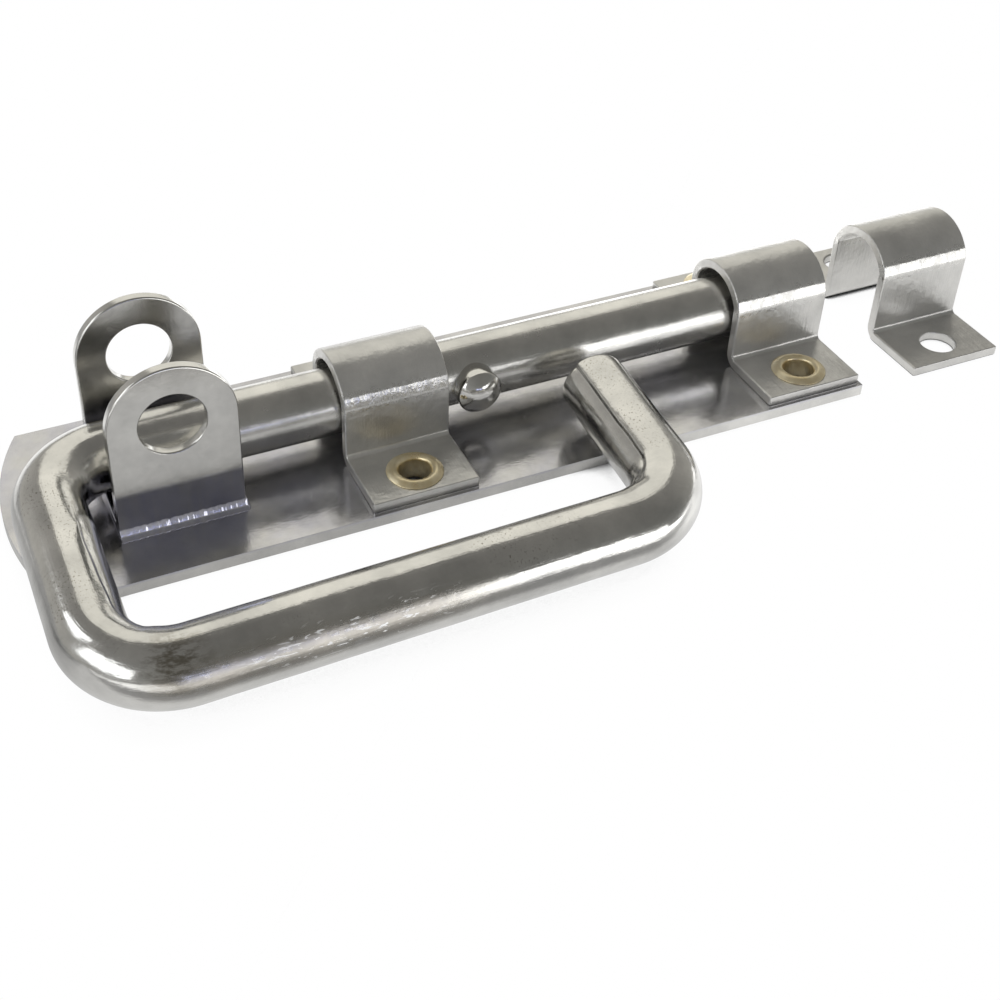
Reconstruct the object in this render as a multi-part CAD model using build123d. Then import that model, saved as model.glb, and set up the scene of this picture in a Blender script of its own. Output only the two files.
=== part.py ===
from build123d import *
from math import sqrt
import os

# Bent bar of the bolt
bar_d = 16.0
bend_r = 16.0
handle_reach = 66.7
handle_span = 126.1
grip_skew = 1.4
bend_leg_lean = 0.4
free_leg_splay = 3.0
leg_end_gap = 8.0
shank = 2.0
bar_end_chamfer = 1.2
tip_chamfer = 1.5
tip_inset = 3.0
turn_clearance = 0.06

# Base plate
plate_w = 60.0
plate_t = 3.0
plate_end_r = 60.0
plate_corner_r = 1.0
plate_left_margin = 22.5
plate_right_margin = 0.6

# Padlock bracket
bracket_t = 2.5
bracket_bend_r = 1.5
weld_leg = 1.6
bracket_offset = 53.0
ear_w = 29.0
ear_gap = 25.8
ear_rise = 27.5
ear_hole_d = 15.0
leg_to_ear = 5.6
rod_lift = 1.0

# Guide straps and keeper strap
strap_t = 2.5
strap_w = 26.0
strap_inset = 1.2
strap_pitch = 104.0
strap_bend_r = 1.2
leg_clearance = 0.5
arch_clearance = 1.3
arch_lift = 0.9
keeper_gap = 17.6

# Screw holes and eyelets
screw_outset = 0.7
hole_d = 9.0
eyelet_bore_d = 7.6
eyelet_flange_d = 13.4
eyelet_crown = 1.1
eyelet_lip = 1.0
eyelet_tail = 1.0
eyelet_clearance = 0.05

# Stop stud
stud_d = 11.0
stud_gap = 2.6
stud_neck = 2.5
stud_dome_r = 7.0

# Places worked out from the sizes above
bar_r = bar_d / 2
leg_in = bar_r + leg_clearance
leg_out = leg_in + strap_t
foot_start_y = leg_out + strap_bend_r
foot_end_y = plate_w / 2 - strap_inset
screw_y = (foot_start_y + foot_end_y) / 2 + screw_outset
axis_z = plate_t + bracket_t + rod_lift + bar_r
arch_z = axis_z + arch_lift
left_strap_x = -strap_pitch / 2
right_strap_x = strap_pitch / 2
keeper_x = right_strap_x + strap_w + keeper_gap
bracket_x = left_strap_x - bracket_offset
ear_z = plate_t + ear_rise
left_leg_x = bracket_x - ear_w / 2 - leg_to_ear - bar_r
grip_left_x = left_leg_x - bend_leg_lean
grip_right_x = grip_left_x + handle_span
rod_start_x = left_leg_x + bend_r + shank
rod_tip_x = right_strap_x + strap_w / 2 - tip_inset
leg_end_y = -(bar_r + leg_end_gap)
plate_left_x = bracket_x - ear_w / 2 - plate_left_margin
plate_right_x = right_strap_x + strap_w / 2 + plate_right_margin
stud_x = left_strap_x + strap_w / 2 + stud_gap + stud_d / 2
screw_spots = [(x, y) for x in (left_strap_x, right_strap_x) for y in (-screw_y, screw_y)]


def base_plate():
    """Flat strip with a bowed left end and four holes, countersunk at the back for the eyelet tails."""
    bow = plate_end_r - sqrt(plate_end_r**2 - (plate_w / 2) ** 2)
    corner_x = plate_left_x + bow
    outline = Polyline(
        (corner_x, -plate_w / 2),
        (plate_right_x, -plate_w / 2),
        (plate_right_x, plate_w / 2),
        (corner_x, plate_w / 2),
    )
    outline += ThreePointArc((corner_x, plate_w / 2), (plate_left_x, 0), (corner_x, -plate_w / 2))
    face = make_face(outline)
    plate = extrude(fillet(face.vertices(), plate_corner_r), plate_t)
    hole = Cylinder(hole_d / 2, plate_t, align=(Align.CENTER, Align.CENTER, Align.MIN))
    sink = Cone(hole_d / 2 + eyelet_tail, hole_d / 2, eyelet_tail, align=(Align.CENTER, Align.CENTER, Align.MIN))
    for spot in screw_spots:
        plate -= Pos(*spot) * (hole + sink)
    return plate


def padlock_bracket():
    """Strip bent to a U, its outer bends filled by weld beads, with two round-topped ears over the rod."""
    inside = ear_gap / 2
    outside = inside + bracket_t
    foot = outside + weld_leg
    top = ear_z + ear_w / 2
    outer = Rectangle(2 * outside, top - plate_t, align=(Align.CENTER, Align.MIN))
    for s in (-1, 1):
        bead = Polyline((s * outside, weld_leg), (s * outside, 0), (s * foot, 0))
        bead += RadiusArc((s * foot, 0), (s * outside, weld_leg), s * weld_leg)
        outer += make_face(bead)
    inner = Pos(0, bracket_t) * Rectangle(2 * inside, top - plate_t, align=(Align.CENTER, Align.MIN))
    inner = fillet(inner.vertices().group_by(Axis.Y)[0], bracket_bend_r)
    section = Pos(bracket_x - ear_w / 2, 0, plate_t) * (Plane.YZ * (outer - inner))
    bracket = extrude(section, ear_w, dir=(1, 0, 0))
    ear_face = Rectangle(ear_w, ear_rise, align=(Align.CENTER, Align.MAX)) + Circle(ear_w / 2)
    ear_face -= Circle(ear_hole_d / 2)
    ear_cutter = Pos(bracket_x, 0, ear_z) * (Plane.XZ * ear_face)
    return bracket & extrude(ear_cutter, foot, both=True)


def strap(centre_x, base_z, foot_hole_d):
    """Strip bent over the rod: an arch, two upright legs that nip in below it, and two flat feet."""
    arch_in = bar_r + arch_clearance
    arch_out = arch_in + strap_t
    crease_in = arch_z + sqrt(arch_in**2 - leg_in**2)
    crease_out = arch_z + sqrt(arch_out**2 - leg_out**2)
    bend_z = base_z + strap_t + strap_bend_r

    def side(s):
        over = Line((s * leg_out, crease_out), (s * leg_out, bend_z))
        over += RadiusArc((s * leg_out, bend_z), (s * foot_start_y, base_z + strap_t), s * strap_bend_r)
        foot = Polyline(
            (s * foot_start_y, base_z + strap_t),
            (s * foot_end_y, base_z + strap_t),
            (s * foot_end_y, base_z),
            (s * foot_start_y, base_z),
        )
        under = RadiusArc((s * foot_start_y, base_z), (s * leg_in, bend_z), -s * (strap_bend_r + strap_t))
        under += Line((s * leg_in, bend_z), (s * leg_in, crease_in))
        return over + foot + under

    arch = ThreePointArc((-leg_out, crease_out), (0, arch_z + arch_out), (leg_out, crease_out))
    arch += ThreePointArc((-leg_in, crease_in), (0, arch_z + arch_in), (leg_in, crease_in))
    section = Pos(centre_x - strap_w / 2, 0, 0) * (Plane.YZ * make_face(side(1) + side(-1) + arch))
    body = extrude(section, strap_w, dir=(1, 0, 0))
    for y in (-screw_y, screw_y):
        body -= Pos(centre_x, y, base_z + strap_t / 2) * Cylinder(foot_hole_d / 2, 2 * strap_t)
    return body


def bolt_rod():
    """Straight run of the bar, from the first bend to the chamfered tip in the right guide."""
    length = rod_tip_x - rod_start_x - turn_clearance
    rod = Cylinder(bar_r, length, align=(Align.CENTER, Align.CENTER, Align.MIN))
    rod = chamfer(rod.edges().sort_by(Axis.Z)[-1], tip_chamfer)
    return Pos(rod_start_x + turn_clearance, 0, axis_z) * Rot(0, 90, 0) * rod


def handle_loop():
    """The same bar bent three times into the loop handle, ending in a cut leg beside the rod."""
    path = FilletPolyline(
        (rod_start_x, 0, axis_z),
        (left_leg_x, 0, axis_z),
        (grip_left_x, -handle_reach - grip_skew, axis_z),
        (grip_right_x, -handle_reach + grip_skew, axis_z),
        (grip_right_x + free_leg_splay, leg_end_y, axis_z),
        radius=bend_r,
    )
    loop = sweep(Plane((rod_start_x, 0, axis_z), z_dir=(-1, 0, 0)) * Circle(bar_r), path)
    cut_end = loop.faces().filter_by(GeomType.PLANE).sort_by(Axis.X)[-1]
    return chamfer(cut_end.edges(), bar_end_chamfer)


def stop_stud():
    """Domed stud on the rod's front, hollowed at its foot to sit on the round bar."""
    neck = bar_r + stud_neck
    dome_drop = sqrt(stud_dome_r**2 - (stud_d / 2) ** 2)
    blank = Cylinder(stud_d / 2, neck + stud_dome_r, align=(Align.CENTER, Align.CENTER, Align.MIN))
    stud = blank & Pos(0, 0, neck - dome_drop) * Sphere(stud_dome_r)
    stud += Cylinder(stud_d / 2, neck, align=(Align.CENTER, Align.CENTER, Align.MIN))
    seat = Rot(0, 90, 0) * Cylinder(bar_r + turn_clearance, 2 * stud_d)
    return Pos(stud_x, 0, axis_z) * Rot(90, 0, 0) * (stud - seat)


def eyelet(x, y):
    """Brass eyelet: rolled crown on the foot, barrel through foot and plate, tail flared at the back."""
    seat_z = plate_t + strap_t
    bore_r = eyelet_bore_d / 2
    barrel_r = hole_d / 2 - eyelet_clearance
    section = Polyline(
        (bore_r, 0, 0),
        (barrel_r + eyelet_tail, 0, 0),
        (barrel_r, 0, eyelet_tail),
        (barrel_r, 0, seat_z),
        (eyelet_flange_d / 2, 0, seat_z),
        (bore_r + eyelet_lip, 0, seat_z + eyelet_crown),
        (bore_r, 0, seat_z),
        close=True,
    )
    return Pos(x, y) * revolve(make_face(section), Axis.Z)


parts = {
    "base_plate": base_plate(),
    "padlock_bracket": padlock_bracket(),
    "left_guide_strap": strap(left_strap_x, plate_t, hole_d),
    "right_guide_strap": strap(right_strap_x, plate_t, hole_d),
    "keeper_strap": strap(keeper_x, 0, hole_d),
    "bolt_rod": bolt_rod(),
    "handle_loop": handle_loop(),
    "stop_stud": stop_stud(),
}
eyelet_names = ["left_front_eyelet", "left_rear_eyelet", "right_front_eyelet", "right_rear_eyelet"]
for name, spot in zip(eyelet_names, screw_spots):
    parts[name] = eyelet(*spot)

os.makedirs("parts", exist_ok=True)
for name, shape in parts.items():
    export_step(shape, f"parts/{name}.step")
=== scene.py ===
from math import acos, asin, atan2, cos, degrees, exp, pi, radians, sin, sqrt, tan

import bmesh
import bpy
from mathutils import Matrix, Vector
from mathutils import noise as field


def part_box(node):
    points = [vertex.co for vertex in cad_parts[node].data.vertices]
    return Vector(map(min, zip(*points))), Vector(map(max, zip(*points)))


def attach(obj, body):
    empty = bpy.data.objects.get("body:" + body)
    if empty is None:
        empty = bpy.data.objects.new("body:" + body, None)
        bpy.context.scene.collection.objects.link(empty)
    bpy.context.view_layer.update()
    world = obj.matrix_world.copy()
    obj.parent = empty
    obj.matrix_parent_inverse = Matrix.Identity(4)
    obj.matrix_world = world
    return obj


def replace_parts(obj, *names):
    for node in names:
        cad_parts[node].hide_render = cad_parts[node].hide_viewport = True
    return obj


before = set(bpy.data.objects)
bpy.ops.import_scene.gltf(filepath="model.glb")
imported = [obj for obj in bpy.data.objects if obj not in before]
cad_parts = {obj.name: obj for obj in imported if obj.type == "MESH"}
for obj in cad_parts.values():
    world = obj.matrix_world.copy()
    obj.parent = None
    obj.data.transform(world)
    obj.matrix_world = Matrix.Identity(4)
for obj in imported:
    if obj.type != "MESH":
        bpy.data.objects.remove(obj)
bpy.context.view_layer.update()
MM = 0.001

# Bent bar; sizes here and below are in millimetres
bar_r = 8.0
bend_r = 16.0
handle_reach = 66.7
handle_span = 126.1
grip_skew = 1.4
bend_leg_lean = 0.4
free_leg_splay = 3.0
leg_end_gap = 8.0
leg_end_rim = 1.6
leg_to_ear = 5.6
seam_gap = 0.05
end_ring = 0.05

# Base plate and padlock bracket
plate_t = 3.0
plate_end_r = 60.0
bracket_t = 2.5
bracket_bend_r = 1.5
ear_gap = 25.8
ear_w = 29.0
ear_rise = 27.5
ear_hole_r = 7.5
rod_lift = 1.0

# Weld beads
weld_leg = 1.6
weld_root = 0.6
weld_inset = 0.1
weld_run_out = 0.7

# Guide straps and keeper strap
strap_t = 2.5
strap_bend_r = 1.2
leg_in = bar_r + 0.5
leg_out = leg_in + strap_t
arch_in = bar_r + 1.3
arch_out = arch_in + strap_t
arch_lift = 0.9
crease_top_deg = 31
crease_face_deg = 20
crease_round = 0.4
foot_end_y = 28.8
screw_y = 21.2
hole_r = 4.5

# Eyelets and stop stud
eyelet_bore_r = 3.8
eyelet_lip = 1.0
eyelet_tail = 0.95
eyelet_clearance = 0.05
stud_dome_r = 7.0
stud_root = 4.0
stud_edge = 0.4

# Rounding of sheet edges, and how far a cutter reaches past the metal
edge_r = 0.45
spare = 5.0


def node_box(name):
    """Lowest and highest corner of a CAD node, in millimetres."""
    low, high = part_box(name)
    return low / MM, high / MM


# Places read from the frame or worked out from the sizes
plate_low, plate_high = node_box("base_plate")
bracket_low, bracket_high = node_box("padlock_bracket")
rod_low, rod_high = node_box("bolt_rod")
stud_low, stud_high = node_box("stop_stud")
axis_z = plate_t + bracket_t + rod_lift + bar_r
arch_z = axis_z + arch_lift
ear_z = plate_t + ear_rise
bracket_x = (bracket_low.x + bracket_high.x) / 2
ear_face_y = ear_gap / 2 + bracket_t
left_leg_x = bracket_low.x - leg_to_ear - bar_r
bar_seam_x = rod_low.x - seam_gap
grip_left = Vector((left_leg_x - bend_leg_lean, -handle_reach - grip_skew))
grip_right = Vector((grip_left.x + handle_span, -handle_reach + grip_skew))
leg_end = Vector((grip_right.x + free_leg_splay, -bar_r - leg_end_gap))


# Mesh helpers
def mesh_object(name, bm):
    mesh = bpy.data.meshes.new(name)
    bmesh.ops.recalc_face_normals(bm, faces=bm.faces)
    bm.to_mesh(mesh)
    bm.free()
    obj = bpy.data.objects.new(name, mesh)
    bpy.context.scene.collection.objects.link(obj)
    return obj


def arc(cx, cy, r, start, end, count):
    """Points on an arc between two angles in degrees."""
    steps = [radians(start + (end - start) * i / count) for i in range(count + 1)]
    return [(cx + r * cos(a), cy + r * sin(a)) for a in steps]


def mirrored(points):
    """The points on the other side of the middle, in reverse order."""
    return [(-u, v) for u, v in reversed(points)]


def bridge(bm, rings, smooth):
    """Faces between each closed ring of vertices and the next, and a cap on both ends."""
    for a, b in zip(rings, rings[1:]):
        for i in range(len(a)):
            j = (i + 1) % len(a)
            bm.faces.new((a[i], a[j], b[j], b[i])).smooth = smooth
    bm.faces.new(rings[0])
    bm.faces.new(rings[-1])


def prism(name, outline, place, start, end):
    bm = bmesh.new()
    rings = [[bm.verts.new(Vector(place(u, v, w)) * MM) for u, v in outline] for w in (start, end)]
    bridge(bm, rings, False)
    return mesh_object(name, bm)


def along_x(u, v, w):
    return (w, u, v)


def along_y(u, v, w):
    return (u, w, v)


def along_z(u, v, w):
    return (u, v, w)


def bake(obj):
    graph = bpy.context.evaluated_depsgraph_get()
    mesh = bpy.data.meshes.new_from_object(obj.evaluated_get(graph))
    obj.modifiers.clear()
    obj.data = mesh
    return obj


def cut(obj, tool, operation="DIFFERENCE"):
    mod = obj.modifiers.new("cut", "BOOLEAN")
    mod.object = tool
    mod.operation = operation
    mod.solver = "EXACT"
    bake(obj)
    bpy.data.objects.remove(tool)
    return obj


def drill(obj, u, v, r, place, start, end):
    ring = arc(u, v, r, 0, 360, 96)[:-1]
    return cut(obj, prism("tool", ring, place, start, end))


def soften(obj, width):
    """Rounds the sharp edges and shades the flat faces flat."""
    bevel = obj.modifiers.new("edge", "BEVEL")
    bevel.width = width * MM
    bevel.segments = 3
    bevel.limit_method = "ANGLE"
    bevel.angle_limit = radians(30)
    bevel.miter_outer = "MITER_ARC"
    bake(obj)
    for face in obj.data.polygons:
        face.use_smooth = True
    weighted = obj.modifiers.new("normals", "WEIGHTED_NORMAL")
    weighted.weight = 60
    return bake(obj)


def lathe(name, profile, centre, turn, count):
    """Turned piece from a profile of (radius, height)."""
    bm = bmesh.new()
    rings = []
    for r, h in profile:
        spots = count if r > 0 else 1
        turns = [2 * pi * i / count for i in range(spots)]
        rings.append([bm.verts.new(Vector((r * cos(a), r * sin(a), h))) for a in turns])
    for a, b in zip(rings, rings[1:]):
        for i in range(count):
            j = (i + 1) % count
            corners = [a[i % len(a)], a[j % len(a)], b[j % len(b)], b[i % len(b)]]
            bm.faces.new(list(dict.fromkeys(corners)))
    bmesh.ops.transform(bm, matrix=Matrix.Translation(Vector(centre)) @ turn, verts=bm.verts)
    bmesh.ops.scale(bm, vec=(MM, MM, MM), verts=bm.verts)
    for face in bm.faces:
        face.smooth = True
    return mesh_object(name, bm)


def bar(name, stations, shape, count):
    """Round bar through stations of (x, y, heading, along, radius), with its straightened coordinates."""
    bm = bmesh.new()
    straight = bm.verts.layers.float_vector.new("bar_place")
    rings = []
    for x, y, heading, along, r in stations:
        inner = Vector((-sin(heading), cos(heading), 0))
        ring = []
        for i in range(count):
            a = 2 * pi * i / count - pi
            offset = shape(along, a, r)
            spot = Vector((x, y, axis_z)) + offset * (sin(a) * inner + cos(a) * Vector((0, 0, 1)))
            vert = bm.verts.new(spot * MM)
            vert[straight] = Vector((along, bar_r * sin(a), bar_r * cos(a))) * MM
            ring.append(vert)
        rings.append(ring)
    bridge(bm, rings, True)
    return mesh_object(name, bm)


# Base plate
def make_plate():
    half = plate_high.y
    half_turn = degrees(asin(half / plate_end_r))
    outline = arc(plate_low.x + plate_end_r, 0, plate_end_r, 180 - half_turn, 180 + half_turn, 48)
    outline += [(plate_high.x, -half), (plate_high.x, half)]
    obj = prism("plate_strip", outline, along_z, 0, plate_t)
    for strap in ("left_guide_strap", "right_guide_strap"):
        low, high = node_box(strap)
        for y in (-screw_y, screw_y):
            drill(obj, (low.x + high.x) / 2, y, hole_r, along_z, -spare, plate_t + spare)
    return soften(obj, edge_r)


# Padlock bracket and its weld beads
def make_bracket():
    inside = ear_gap / 2
    top = bracket_high.z + spare
    web_z = plate_t + bracket_t
    right_bend = arc(inside - bracket_bend_r, web_z + bracket_bend_r, bracket_bend_r, 0, -90, 10)
    outline = [(-ear_face_y, plate_t), (ear_face_y, plate_t), (ear_face_y, top), (inside, top)]
    outline += right_bend + mirrored(right_bend) + [(-inside, top), (-ear_face_y, top)]
    obj = prism("ear_bracket", outline, along_x, bracket_low.x - spare, bracket_high.x + spare)
    half = ear_w / 2
    reach = ear_face_y + spare
    ear = arc(bracket_x, ear_z, half, 0, 180, 64)
    ear += [(bracket_x - half, plate_t - spare), (bracket_x + half, plate_t - spare)]
    cut(obj, prism("tool", ear, along_y, -reach, reach), "INTERSECT")
    drill(obj, bracket_x, ear_z, ear_hole_r, along_y, -reach, reach)
    return soften(obj, edge_r)


def make_weld(name, side):
    """Bead along an ear's foot, rippled as it was laid drop by drop, run out past the right edge."""
    bm = bmesh.new()
    rings = []
    drops = 140
    run_out_start = 0.4
    run_out_length = 1.2
    steep = [(0.0, 1.5), (0.03, 1.44), (0.2, 1.02), (0.37, 0.6)]
    slope = steep + [(0.42, 0.48), (0.6, 0.2), (0.84, 0.06), (1.1, 0.0)]
    root_y = ear_face_y - weld_root
    for k in range(drops + 1):
        x = bracket_low.x + weld_inset + (ear_w + weld_run_out) * k / drops
        swell = 1 + 0.14 * field.noise(Vector((x * 0.8, side, 0)))
        swell += 0.08 * field.noise(Vector((x * 2.4, side, 5)))
        past = max(0, x - bracket_high.x + run_out_start) / run_out_length
        reach = weld_leg * swell * sqrt(max(0.05, 1 - past * past))
        profile = [(root_y, plate_t), (root_y, plate_t + slope[0][1] * reach)]
        profile += [(ear_face_y + out * reach, plate_t + up * reach) for out, up in slope]
        rings.append([bm.verts.new(Vector((x, side * u, v)) * MM) for u, v in profile])
    bridge(bm, rings, True)
    return mesh_object(name, bm)


# Guide straps and keeper strap
def crease_points():
    """Lower end of the flat band that the press left between arch and leg, rounded into the leg."""
    tilt = radians(crease_face_deg)
    top = radians(crease_top_deg)
    drop = (leg_out - arch_out * cos(top)) / tan(tilt)
    corner_z = arch_z + arch_out * sin(top) - drop
    on_leg = (leg_out, corner_z - crease_round)
    on_band = (leg_out - crease_round * sin(tilt), corner_z + crease_round * cos(tilt))
    return [on_leg, on_band]


def make_strap(name, cad_name):
    low, high = node_box(cad_name)
    base = low.z
    turn_in = degrees(acos(leg_in / arch_in))
    bend = base + strap_t + strap_bend_r
    foot_start = leg_out + strap_bend_r
    crease = crease_points()
    outer = crease + arc(0, arch_z, arch_out, crease_top_deg, 180 - crease_top_deg, 56)
    outer += mirrored(crease)
    inner = arc(0, arch_z, arch_in, 180 - turn_in, turn_in, 48)
    left_top = arc(-foot_start, bend, strap_bend_r, 0, -90, 8)
    left_under = arc(-foot_start, bend, strap_bend_r + strap_t, -90, 0, 12)
    left_toe = [(-foot_end_y, base + strap_t), (-foot_end_y, base)]
    outline = outer + left_top + left_toe + left_under + inner
    outline += mirrored(left_under) + mirrored(left_toe) + mirrored(left_top)
    obj = prism(name, outline, along_x, low.x, high.x)
    for y in (-screw_y, screw_y):
        drill(obj, (low.x + high.x) / 2, y, hole_r, along_z, base - spare, base + strap_t + spare)
    return soften(obj, edge_r)


# Bent bar, as stations of (x, y, heading, length along the bar, radius)
def plain_round(along, a, r):
    return r


def make_rod():
    tip = rod_high.x
    length = tip - bar_seam_x
    chamfer = [(0, 1.9), (0.1, 1.4), (1.5, 0.1), (1.9, 0.0), (2.4, 0.0)]
    shape = chamfer + [(length - end_ring, 0.0), (length, 0.0)]
    stations = [(tip - back, 0, pi, back - length, bar_r - less) for back, less in shape]
    return bar("rod_bar", stations, plain_round, count=96)


def bend_stations(before, corner, after, along, steps=30):
    """Stations round one left-hand bend, from along onwards."""
    into = (corner - before).normalized()
    out = (after - corner).normalized()
    heading = atan2(into.y, into.x)
    turn = acos(max(-1.0, min(1.0, into.dot(out))))
    start = corner - into * bend_r * tan(turn / 2)
    centre = start + bend_r * Vector((-into.y, into.x))
    stations = []
    for i in range(steps + 1):
        h = heading + turn * i / steps
        spot = centre + bend_r * Vector((sin(h), -cos(h)))
        stations.append((spot.x, spot.y, h, along + bend_r * turn * i / steps, bar_r))
    return stations


def run_stations(a, b, pitch=2.0):
    """Stations between two others on one straight run."""
    count = max(1, int((b[3] - a[3]) / pitch))
    stations = []
    for i in range(1, count):
        t = i / count
        x, y, along = (a[k] + (b[k] - a[k]) * t for k in (0, 1, 3))
        stations.append((x, y, a[2], along, bar_r))
    return stations


def rounded_end(spot, heading, along, rim, steps=6):
    """Stations of a cut bar end with a rounded rim; spot is the middle of the end's face."""
    stations = []
    for i in range(steps + 1):
        a = pi / 2 * i / steps
        back = rim * (1 - sin(a))
        x = spot.x - back * cos(heading)
        y = spot.y - back * sin(heading)
        stations.append((x, y, heading, along - back, bar_r - rim + rim * cos(a)))
    return stations


def loop_stations():
    """All stations of the handle, and the length along the bar at the middle of each bend."""
    corners = [Vector((bar_seam_x, 0)), Vector((left_leg_x, 0)), grip_left, grip_right, leg_end]
    stations = [(bar_seam_x - along, 0, pi, along, bar_r) for along in (0, end_ring)]
    middles = []
    for before, corner, after in zip(corners, corners[1:], corners[2:]):
        last = stations[-1]
        first = bend_stations(before, corner, after, 0)[0]
        gap = (Vector(first[:2]) - Vector(last[:2])).length
        bend = bend_stations(before, corner, after, last[3] + gap)
        stations += run_stations(last, bend[0]) + bend
        middles.append((bend[0][3] + bend[-1][3]) / 2)
    last = stations[-1]
    end = last[3] + (leg_end - Vector(last[:2])).length
    rim = rounded_end(leg_end, last[2], end, leg_end_rim)
    stations += run_stations(last, rim[0]) + rim
    return stations, middles, end


def share(value):
    """The value held between nothing and one."""
    return min(1, max(0, value))


def hump(distance, width):
    """A smooth bump's height at a distance from its middle."""
    return exp(-(distance / width) ** 2)


def make_loop():
    stations, (first_bend, second_bend, third_bend), end = loop_stations()
    # Fold lines: start and stop along the bar, and the angle round it at both
    folds = [(first_bend + 22, second_bend + 4, 29, 46), (third_bend - 2, end + 10, 40, 37)]
    fold_depth = 0.7
    fold_fade = 7
    fold_lip_deg = 8
    fold_wander_deg = 4
    fold_width_deg = 34
    # Kinks: place along the bar, angle round it, depth
    kinks = [(second_bend + 1, 72, 1.1), (third_bend - 2, 66, 1.2)]
    kink_length = 2.6
    kink_width_deg = 34
    # Knob where the first fold line starts
    knob_at = first_bend + 25
    knob_deg = 30
    knob_height = 0.4
    knob_length = 1.8
    knob_width_deg = 11
    waviness = 0.035

    def marked_round(along, a, r):
        """Radius with a fold line inside each leg, a knob, and a crushed kink inside two bends."""
        round_deg = degrees(a)
        for start, stop, first, last in folds:
            line = first + (last - first) * share((along - start) / (stop - start))
            past = round_deg - line + fold_wander_deg * field.noise(Vector((along * 0.12, first, 3)))
            step = share(past / fold_lip_deg + 0.5)
            depth = fold_depth * share((along - start) / fold_fade) * share((stop - along) / fold_fade)
            r -= depth * step * step * (3 - 2 * step) * exp(-max(0, past) / fold_width_deg)
        for spot, line, depth in kinks:
            crush = 0.8 + 0.5 * field.noise(Vector((along * 0.4, a * 2.0, 9)))
            r -= depth * crush * hump(along - spot, kink_length) * hump(round_deg - line, kink_width_deg)
        r += knob_height * hump(along - knob_at, knob_length) * hump(round_deg - knob_deg, knob_width_deg)
        return r + waviness * field.noise(Vector((along * 0.16, sin(a) * 1.1, cos(a) * 1.1)))

    return bar("loop_bar", stations, marked_round, count=180)


# Stop stud
def make_stud():
    r = (stud_high.x - stud_low.x) / 2
    tip = -stud_low.y
    dome_z = tip - stud_dome_r
    drop = sqrt(stud_dome_r**2 - r**2)
    rim = degrees(asin(r / stud_dome_r))
    profile = [(0.0, stud_root), (r, stud_root), (r, dome_z + drop - stud_edge)]
    profile += arc(0, dome_z, stud_dome_r, 90 - rim, 90, 16)[:-1] + [(0.0, tip)]
    turn = Matrix.Rotation(pi / 2, 4, "X")
    centre = ((stud_low.x + stud_high.x) / 2, 0, axis_z)
    return lathe("stud_head", profile, centre, turn, count=72)


# Eyelets
def make_eyelet(name, cad_name):
    low, high = node_box(cad_name)
    flange = (high.x - low.x) / 2
    seat = plate_t + strap_t
    barrel = hole_r - eyelet_clearance
    crest = eyelet_bore_r + eyelet_lip
    mouth = (eyelet_bore_r, 0.9)
    tail = [(eyelet_bore_r + 0.2, 0.3), (barrel + 0.2, 0.0), (barrel + eyelet_tail, 0.05), (barrel, 1.0)]
    rim = [(barrel, seat + 0.05), (flange - 0.2, seat + 0.02), (flange, seat + 0.2)]
    crown_r = flange - 0.1
    crown_z = seat + 0.3
    crown = []
    for i in range(13):
        t = i / 12
        crown.append((crown_r + (crest - crown_r) * t, crown_z + (high.z - crown_z) * sin(t * pi / 2)))
    lip = arc(crest, high.z - eyelet_lip, eyelet_lip, 100, 175, 10)
    profile = [mouth] + tail + rim + crown + lip + [(eyelet_bore_r, seat - 0.8), mouth]
    centre = ((low.x + high.x) / 2, (low.y + high.y) / 2, 0)
    return lathe(name, profile, centre, Matrix.Identity(4), count=96)


# Node helpers
def new_material(name):
    mat = bpy.data.materials.new(name)
    mat.use_nodes = True
    tree = mat.node_tree
    tree.nodes.clear()
    out = tree.nodes.new("ShaderNodeOutputMaterial")
    shader = tree.nodes.new("ShaderNodeBsdfPrincipled")
    tree.links.new(shader.outputs["BSDF"], out.inputs["Surface"])
    return mat, tree, shader


def node(tree, kind, **values):
    made = tree.nodes.new(kind)
    for key, value in values.items():
        setattr(made, key, value)
    return made


def calc(tree, operation, a, b):
    made = node(tree, "ShaderNodeMath", operation=operation)
    for index, value in enumerate((a, b)):
        if isinstance(value, (float, int)):
            made.inputs[index].default_value = value
        else:
            tree.links.new(value, made.inputs[index])
    return made.outputs[0]


def times(tree, *values):
    """Product of two or more values."""
    product = values[0]
    for value in values[1:]:
        product = calc(tree, "MULTIPLY", product, value)
    return product


def noise(tree, vector, scale, detail=4.0, rough=0.55, stretch=None):
    tex = node(tree, "ShaderNodeTexNoise")
    tex.inputs["Scale"].default_value = scale
    tex.inputs["Detail"].default_value = detail
    tex.inputs["Roughness"].default_value = rough
    if stretch:
        mapping = node(tree, "ShaderNodeMapping")
        mapping.inputs["Scale"].default_value = stretch
        tree.links.new(vector, mapping.inputs["Vector"])
        vector = mapping.outputs["Vector"]
    tree.links.new(vector, tex.inputs["Vector"])
    return tex.outputs["Fac"]


def ramp(tree, value, stops):
    """Colour or level by the value, from stops of (place, colour or level)."""
    made = node(tree, "ShaderNodeValToRGB")
    line = made.color_ramp
    while len(line.elements) < len(stops):
        line.elements.new(0.5)
    for element, (place, colour) in zip(line.elements, stops):
        element.position = place
        element.color = (colour, colour, colour, 1) if isinstance(colour, float) else (*colour, 1)
    tree.links.new(value, made.inputs["Fac"])
    return made.outputs["Color"]


def spread(tree, value, low, high):
    """The value's share of the way from low to high."""
    made = node(tree, "ShaderNodeMapRange")
    made.inputs["From Min"].default_value = low
    made.inputs["From Max"].default_value = high
    tree.links.new(value, made.inputs["Value"])
    return made.outputs["Result"]


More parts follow.
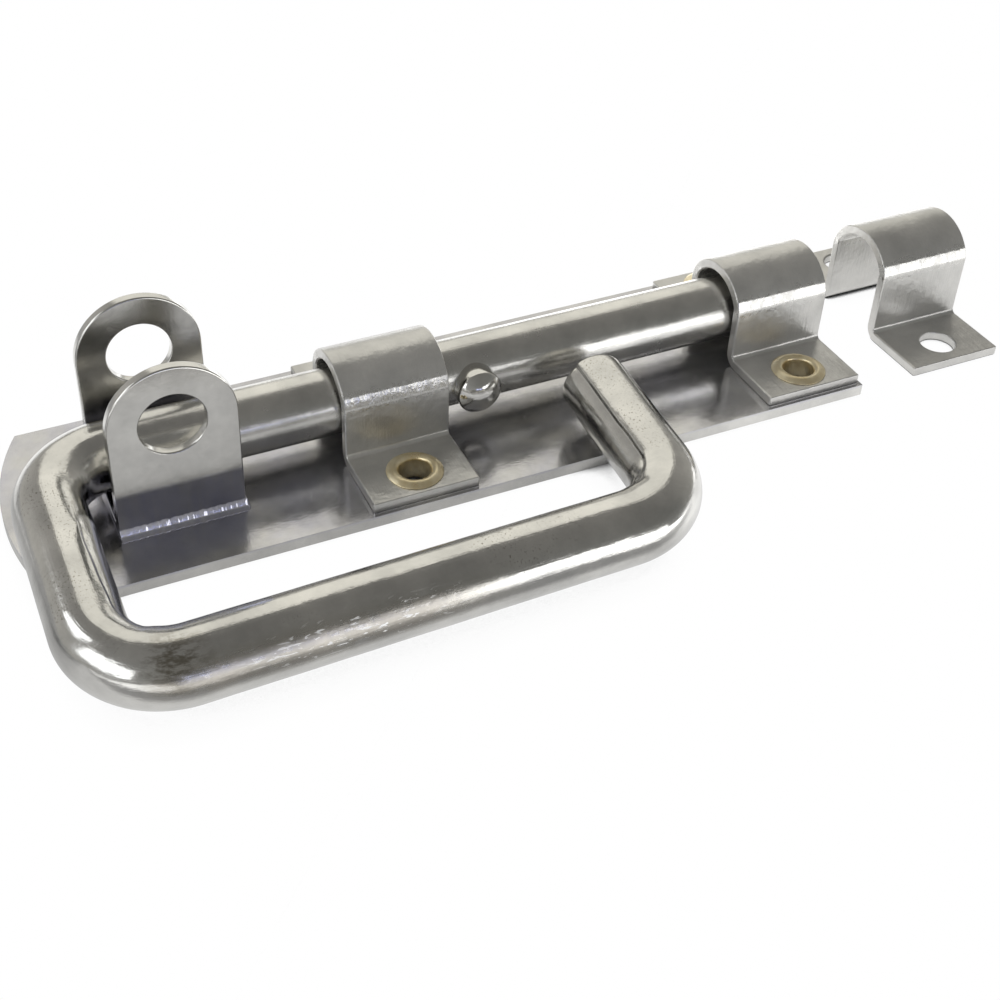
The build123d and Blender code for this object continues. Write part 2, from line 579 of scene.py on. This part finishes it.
def mix(tree, kind, factor, a, b):
    made = node(tree, "ShaderNodeMix", data_type="RGBA", blend_type=kind)
    for index, value in ((0, factor), (6, a), (7, b)):
        if isinstance(value, (float, int)):
            made.inputs[index].default_value = value
        elif isinstance(value, tuple):
            made.inputs[index].default_value = (*value, 1)
        else:
            tree.links.new(value, made.inputs[index])
    return made.outputs[2]


def bump(tree, height, strength, depth, normal=None):
    made = node(tree, "ShaderNodeBump")
    made.inputs["Strength"].default_value = strength
    made.inputs["Distance"].default_value = depth
    tree.links.new(height, made.inputs["Height"])
    if normal:
        tree.links.new(normal, made.inputs["Normal"])
    return made.outputs["Normal"]


def axes(tree, vector):
    split = node(tree, "ShaderNodeSeparateXYZ")
    tree.links.new(vector, split.inputs[0])
    return split.outputs["X"], split.outputs["Y"], split.outputs["Z"]


def place_of(tree, kind):
    """X, Y and Z of the point, as object or generated coordinates."""
    return axes(tree, node(tree, "ShaderNodeTexCoord").outputs[kind])


def grey(level):
    return (level, level, level)


# Colours of zinc and brass
zinc_dark = (0.56, 0.555, 0.535)
zinc_pale = (0.73, 0.72, 0.69)
# The blue tint is a painted reflection, multiplied into the colour of the ears' feet and the plate's top
painted_reflection_blue = (0.7, 0.72, 0.95)
scraped_tint = (0.74, 0.71, 0.66)
pit_colour = (0.27, 0.25, 0.21)
stroke_colour = (1.0, 1.0, 0.98)
brass_dark = (0.86, 0.72, 0.44)
brass_pale = (1.0, 0.9, 0.65)

# Roughness of polished, scraped and scratched zinc
polished = 0.07
scraped_rough = 0.3
stroke_rough = 0.55


# Bright zinc plate: clouded colour and sheen, drawn lines and grit, and where given a painted blue
# reflection, a polish or wear
def zinc(name, rough, lines, wave, grit, metal=1.0, drawn=0.0, bar_grain=False,
         painted_reflection=None, polish=None, wear=None):
    mat, tree, shader = new_material(name)
    body = node(tree, "ShaderNodeTexCoord").outputs["Object"]
    coord = body
    if bar_grain:
        coord = node(tree, "ShaderNodeAttribute", attribute_name="bar_place").outputs["Vector"]
    shader.inputs["Metallic"].default_value = metal
    if drawn:
        shader.inputs["Anisotropic"].default_value = drawn
        shader.inputs["Anisotropic Rotation"].default_value = 0.25
        tangent = node(tree, "ShaderNodeTangent", direction_type="RADIAL", axis="X")
        tree.links.new(tangent.outputs[0], shader.inputs["Tangent"])
    colour = ramp(tree, noise(tree, coord, 75, 6, 0.62), [(0.33, zinc_dark), (0.66, zinc_pale)])
    sheen = ramp(tree, noise(tree, coord, 140, 6, 0.65), [(0.3, rough[0]), (0.75, rough[1])])
    normal = bump(tree, noise(tree, coord, 95, 2, 0.5), wave, 0.0008)
    normal = bump(tree, noise(tree, coord, 430, 3, 0.6), grit, 0.0004, normal)
    normal = bump(tree, noise(tree, coord, 1700, 3, 0.6, lines), min(1.0, 2 * grit), 0.0001, normal)
    # Painted reflection: a blue tint multiplied into the colour where its mask is given
    if painted_reflection:
        colour = mix(tree, "MULTIPLY", painted_reflection(tree, body), colour, painted_reflection_blue)
    if polish:
        bright = polish(tree, body)
        sheen = mix(tree, "MIX", bright, sheen, grey(polished))
        if metal < 1.0:
            tree.links.new(ramp(tree, bright, [(0.0, metal), (1.0, 1.0)]), shader.inputs["Metallic"])
    if wear:
        scraped, strokes, pits = wear(tree, body, coord)
        colour = mix(tree, "MULTIPLY", scraped, colour, scraped_tint)
        colour = mix(tree, "MIX", pits, colour, pit_colour)
        colour = mix(tree, "MIX", strokes, colour, stroke_colour)
        sheen = mix(tree, "MIX", scraped, sheen, grey(scraped_rough))
        sheen = mix(tree, "MIX", strokes, sheen, grey(stroke_rough))
        normal = bump(tree, pits, -0.3, 0.0002, normal)
    tree.links.new(colour, shader.inputs["Base Color"])
    tree.links.new(sheen, shader.inputs["Roughness"])
    tree.links.new(normal, shader.inputs["Normal"])
    return mat


def ear_foot(tree, body):
    """Lowest part of the ears, up to a crisp limit."""
    z = axes(tree, body)[2]
    return ramp(tree, spread(tree, z, 0.004, 0.016), [(0.8, 1.0), (0.92, 0.0)])


def ear_painted_reflection(tree, body):
    """Painted blue reflection at the ears' feet, in upright streaks."""
    streaks = ramp(tree, noise(tree, body, 500, 4, 0.6, (1, 0.1, 0.12)), [(0.3, 0.5), (0.7, 1.0)])
    return times(tree, ear_foot(tree, body), streaks)


def plate_painted_reflection(tree, body):
    """Painted blue reflection on the plate's top, in clouds, stronger to the left."""
    x, y, z = axes(tree, body)
    side = ramp(tree, spread(tree, x, -0.13, 0.06), [(0.1, 0.6), (0.95, 0.35)])
    clouds = ramp(tree, noise(tree, body, 60, 4, 0.6), [(0.35, 0.2), (0.65, 1.0)])
    return times(tree, side, spread(tree, z, 0.0022, 0.0028), clouds)


def crease_polish(tree, body):
    """Bright band along the crease under the arch, ragged and broken."""
    ragged = times(tree, calc(tree, "SUBTRACT", noise(tree, body, 700, 3, 0.6), 0.5), 0.003)
    z = calc(tree, "ADD", axes(tree, body)[2], ragged)
    band = ramp(tree, spread(tree, z, 0.0165, 0.0245), [(0.1, 0.0), (0.3, 0.6), (0.55, 0.6), (0.85, 0.0)])
    breaks = ramp(tree, noise(tree, body, 420, 4, 0.7, (1, 0.4, 0.4)), [(0.4, 0.0), (0.56, 1.0)])
    return times(tree, band, breaks)


def near(tree, body, spot, reach):
    """Fades from one at the spot to nothing at the reach."""
    away = node(tree, "ShaderNodeVectorMath", operation="DISTANCE")
    away.inputs[1].default_value = spot
    tree.links.new(body, away.inputs[0])
    return ramp(tree, spread(tree, away.outputs["Value"], 0.0, reach), [(0.3, 1.0), (1.0, 0.0)])


def scratches(tree, vector, stretch, turn):
    """Thin scattered strokes, long where the stretch is small."""
    aim = node(tree, "ShaderNodeMapping")
    aim.inputs["Rotation"].default_value = turn
    tree.links.new(vector, aim.inputs["Vector"])
    stroke = noise(tree, aim.outputs["Vector"], 1500, 2, 0.5, stretch)
    return ramp(tree, stroke, [(0.64, 0.0), (0.68, 1.0)])


def bar_wear(tree, body, coord):
    """Scraped front of the grip left of its middle, white strokes in it, and pits on top of the bar."""
    x, y, z = axes(tree, body)
    span = ramp(tree, spread(tree, x, -0.132, -0.045), [(0.02, 0.0), (0.12, 1.0), (0.7, 1.0), (0.98, 0.0)])
    front = ramp(tree, spread(tree, y, -0.077, -0.068), [(0.4, 1.0), (0.9, 0.0)])
    band = ramp(tree, spread(tree, z, 0.012, 0.022), [(0.1, 0.0), (0.35, 1.0), (0.75, 1.0), (0.95, 0.0)])
    torn = ramp(tree, noise(tree, coord, 230, 5, 0.7, (0.4, 1, 1)), [(0.36, 0.0), (0.5, 1.0)])
    scraped = times(tree, span, front, band, torn)
    along = scratches(tree, coord, (0.06, 1, 1), (0.0, 0.0, 0.12))
    across = scratches(tree, coord, (0.08, 1, 1), (0.1, 0.0, -0.3))
    scuff = near(tree, body, (-0.086, -0.074, 0.018), 0.026)
    strokes = times(tree, calc(tree, "MAXIMUM", along, across), scuff, band)
    stain = ramp(tree, noise(tree, coord, 480, 4, 0.7, (0.5, 1, 1)), [(0.42, 0.0), (0.55, 1.0)])
    corner = times(tree, near(tree, body, (-0.121, -0.0722, 0.0205), 0.008), stain)
    top = ramp(tree, spread(tree, z, 0.0185, 0.0215), [(0.0, 0.0), (1.0, 1.0)])
    cluster = ramp(tree, noise(tree, coord, 55, 3, 0.6), [(0.5, 0.0), (0.64, 1.0)])
    specks = ramp(tree, noise(tree, coord, 2000, 3, 0.6), [(0.59, 0.0), (0.67, 1.0)])
    pits = times(tree, top, cluster, specks)
    return scraped, strokes, calc(tree, "MAXIMUM", pits, corner)


def brass(name):
    mat, tree, shader = new_material(name)
    coord = node(tree, "ShaderNodeTexCoord").outputs["Object"]
    shader.inputs["Metallic"].default_value = 0.88
    cloud = noise(tree, coord, 260, 5, 0.6)
    tint = ramp(tree, cloud, [(0.35, brass_dark), (0.65, brass_pale)])
    tree.links.new(tint, shader.inputs["Base Color"])
    tree.links.new(ramp(tree, cloud, [(0.3, 0.26), (0.7, 0.42)]), shader.inputs["Roughness"])
    tree.links.new(bump(tree, noise(tree, coord, 520, 3, 0.6), 0.25, 0.0003), shader.inputs["Normal"])
    return mat


# Materials; lines are the grain's stretch along X, Y and Z
bar_zinc = zinc("zinc_bar", rough=(0.1, 0.22), lines=(0.06, 1, 1), wave=0.08, grit=0.14,
                bar_grain=True, wear=bar_wear)
rod_zinc = zinc("zinc_rod", rough=(0.18, 0.3), lines=(0.05, 1, 1), wave=0.08, grit=0.12, bar_grain=True)
strap_zinc = zinc("zinc_strap", rough=(0.28, 0.38), lines=(1, 0.08, 0.08), wave=0.06, grit=0.34,
                  metal=0.7, drawn=0.5, polish=crease_polish)
stud_zinc = zinc("zinc_stud", rough=(0.02, 0.06), lines=(1, 1, 1), wave=0.12, grit=0.12)
# The ears and the plate carry a painted blue reflection tint
ear_zinc = zinc("zinc_ear", rough=(0.16, 0.26), lines=(1, 0.08, 0.08), wave=0.05, grit=0.06,
                painted_reflection=ear_painted_reflection, polish=ear_foot)
plate_zinc = zinc("zinc_plate", rough=(0.12, 0.24), lines=(0.3, 1, 1), wave=0.12, grit=0.06,
                  metal=0.85, painted_reflection=plate_painted_reflection)
eyelet_brass = brass("brass_eyelet")


# Pieces, each standing for its CAD node
def dress(obj, body, mat):
    obj.data.materials.clear()
    obj.data.materials.append(mat)
    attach(obj, body)
    return obj


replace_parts(dress(make_plate(), "base", plate_zinc), "base_plate")
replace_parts(dress(make_bracket(), "base", ear_zinc), "padlock_bracket")
dress(make_weld("front_weld_bead", -1), "base", ear_zinc)
dress(make_weld("rear_weld_bead", 1), "base", ear_zinc)
for strap in ("left_guide_strap", "right_guide_strap", "keeper_strap"):
    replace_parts(dress(make_strap(strap + "_sheet", strap), "base", strap_zinc), strap)
for corner in ("left_front", "left_rear", "right_front", "right_rear"):
    eyelet = make_eyelet(corner + "_ring", corner + "_eyelet")
    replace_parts(dress(eyelet, "base", eyelet_brass), corner + "_eyelet")
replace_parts(dress(make_rod(), "rod", rod_zinc), "bolt_rod")
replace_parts(dress(make_loop(), "handle", bar_zinc), "handle_loop")
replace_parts(dress(make_stud(), "handle", stud_zinc), "stop_stud")


# Studio, in metres: white floor, pale screen behind, low strip and bluish card in front, windows at the left
def stage_plane(name, corners, in_view):
    """Plane of the studio, with an empty material to fill."""
    bm = bmesh.new()
    bm.faces.new([bm.verts.new(c) for c in corners])
    obj = mesh_object(name, bm)
    mat = bpy.data.materials.new(name)
    mat.use_nodes = True
    tree = mat.node_tree
    tree.nodes.clear()
    out = node(tree, "ShaderNodeOutputMaterial")
    obj.data.materials.append(mat)
    obj.visible_camera = in_view
    return tree, out


def blend_shaders(tree, factor, first, second, out):
    blend = node(tree, "ShaderNodeMixShader")
    tree.links.new(factor, blend.inputs["Fac"])
    tree.links.new(first.outputs[0], blend.inputs[1])
    tree.links.new(second.outputs[0], blend.inputs[2])
    tree.links.new(blend.outputs[0], out.inputs["Surface"])


def mirrored_floor(tree):
    """Brightness of the floor in the metal, by depth, brighter at the right and dim behind at the left."""
    x, y, z = place_of(tree, "Object")
    half_depth = 0.2
    tones = [(-0.13, 1.0), (-0.12, 0.24), (-0.088, 0.24), (-0.08, 0.5)]
    tones += [(-0.06, 0.46), (-0.05, 0.38), (0.03, 0.38), (0.04, 0.75)]
    stops = [(place / (2 * half_depth) + 0.5, tone) for place, tone in tones]
    by_depth = times(tree, ramp(tree, spread(tree, y, -half_depth, half_depth), stops), 1.5)
    right = times(tree, ramp(tree, spread(tree, x, -0.005, 0.03), [(0.0, 0.5), (1.0, 0.95)]), 2.0)
    left = ramp(tree, spread(tree, x, -0.22, -0.15), [(0.0, 0.65), (1.0, 0.0)])
    back = ramp(tree, spread(tree, y, -0.05, 0.0), [(0.0, 0.0), (1.0, 1.0)])
    lit = calc(tree, "SUBTRACT", 1.0, times(tree, left, back))
    return times(tree, by_depth, right, lit)


def make_floor():
    """White floor with the object's contact shadow."""
    size = 4.0
    shadow_reach = 0.012
    pale = (0.86, 0.86, 0.85)
    corners = [(-size, -size, 0), (size, -size, 0), (size, size, 0), (-size, size, 0)]
    tree, out = stage_plane("floor", corners, True)
    diffuse = node(tree, "ShaderNodeBsdfDiffuse")
    diffuse.inputs["Color"].default_value = (*pale, 1)
    path = node(tree, "ShaderNodeLightPath")
    camera = path.outputs["Is Camera Ray"]
    indirect = calc(tree, "MAXIMUM", path.outputs["Is Glossy Ray"], path.outputs["Is Transmission Ray"])
    cover = node(tree, "ShaderNodeAmbientOcclusion", samples=16)
    cover.inputs["Distance"].default_value = shadow_reach
    shadow = ramp(tree, cover.outputs["AO"], [(0.28, 0.01), (0.42, 0.96), (0.7, 1.0)])
    seen = times(tree, camera, shadow)
    in_metal = times(tree, indirect, mirrored_floor(tree), shadow)
    glow = node(tree, "ShaderNodeEmission")
    tree.links.new(calc(tree, "ADD", seen, in_metal), glow.inputs["Strength"])
    blend_shaders(tree, calc(tree, "MAXIMUM", camera, indirect), diffuse, glow, out)


def make_screen(name, start, end, z, colour, strength, soft):
    """Upright glowing card between two floor points, with soft edges."""
    corners = [(*start, z[0]), (*end, z[0]), (*end, z[1]), (*start, z[1])]
    tree, out = stage_plane(name, corners, False)
    x, y, height = place_of(tree, "Generated")
    width = x if start[0] != end[0] else y
    edge = [(0.0, 0.0), (soft, 1.0), (1.0 - soft, 1.0), (1.0, 0.0)]
    level = times(tree, ramp(tree, width, edge), ramp(tree, height, edge))
    glow = node(tree, "ShaderNodeEmission")
    glow.inputs["Color"].default_value = (*colour, 1)
    tree.links.new(times(tree, level, strength), glow.inputs["Strength"])
    blend_shaders(tree, level, node(tree, "ShaderNodeBsdfTransparent"), glow, out)


def make_room():
    """Dim room above, a little lighter behind and at the left."""
    zenith = (0.19, 0.185, 0.175)
    front_stops = [(0.0, (0.3, 0.3, 0.29)), (0.4, (0.2, 0.2, 0.19)), (1.0, zenith)]
    back_stops = [(0.0, (0.44, 0.43, 0.4)), (0.5, (0.32, 0.31, 0.29)), (1.0, zenith)]
    world = bpy.data.worlds.new("studio")
    bpy.context.scene.world = world
    world.use_nodes = True
    tree = world.node_tree
    tree.nodes.clear()
    out = node(tree, "ShaderNodeOutputWorld")
    sky = node(tree, "ShaderNodeBackground")
    x, y, z = place_of(tree, "Generated")
    front = ramp(tree, z, front_stops)
    back = ramp(tree, z, back_stops)
    room = mix(tree, "MIX", spread(tree, y, -0.3, 0.3), front, back)
    left = ramp(tree, spread(tree, x, -1.0, 0.2), [(0.0, 0.1), (1.0, 0.0)])
    tree.links.new(mix(tree, "ADD", 1.0, room, left), sky.inputs["Color"])
    tree.links.new(sky.outputs[0], out.inputs["Surface"])


warm = (1.0, 0.975, 0.895)
white = (1.0, 1.0, 1.0)
blue = (0.62, 0.67, 1.0)
daylight = (0.97, 0.985, 1.0)
make_floor()
make_screen("back_screen", (-0.22, 0.365), (0.48, 0.365), (0.05, 0.8), warm, 1.0, 0.08)
make_screen("front_strip", (0.165, -1.0), (1.1, -1.0), (0.0, 0.28), white, 2.4, 0.065)
make_screen("blue_card", (-0.3, -1.0), (0.2, -1.0), (0.02, 0.22), blue, 1.6, 0.12)
make_screen("left_window", (-0.5, -0.42), (-0.5, 0.06), (0.09, 0.36), daylight, 2.2, 0.08)
make_screen("far_left_window", (-0.5, 0.1), (-0.5, 0.42), (0.25, 0.52), daylight, 2.2, 0.08)
make_room()


# Camera at the photograph's place
def make_camera():
    turn, tilt, roll = radians(-22.77), radians(36.79), radians(0.21)
    target = Vector((-0.0438, 0, 0.010))
    distance = 0.36206
    ahead = Vector((-sin(turn) * cos(tilt), cos(turn) * cos(tilt), -sin(tilt)))
    level = Vector((cos(turn), sin(turn), 0))
    upward = level.cross(ahead)
    right = cos(roll) * level + sin(roll) * upward
    up = -sin(roll) * level + cos(roll) * upward
    pose = Matrix((right, up, -ahead)).transposed().to_4x4()
    pose.translation = target - ahead * distance
    cam = bpy.data.objects.new("camera", bpy.data.cameras.new("camera"))
    bpy.context.scene.collection.objects.link(cam)
    cam.matrix_world = pose
    cam.data.sensor_fit = "HORIZONTAL"
    cam.data.sensor_width = 36.0
    cam.data.lens = 54.48
    cam.data.shift_x = 0.0877
    cam.data.shift_y = -0.1042
    cam.data.clip_start = 0.01
    bpy.context.scene.camera = cam


make_camera()
bpy.context.scene.view_settings.view_transform = "Standard"
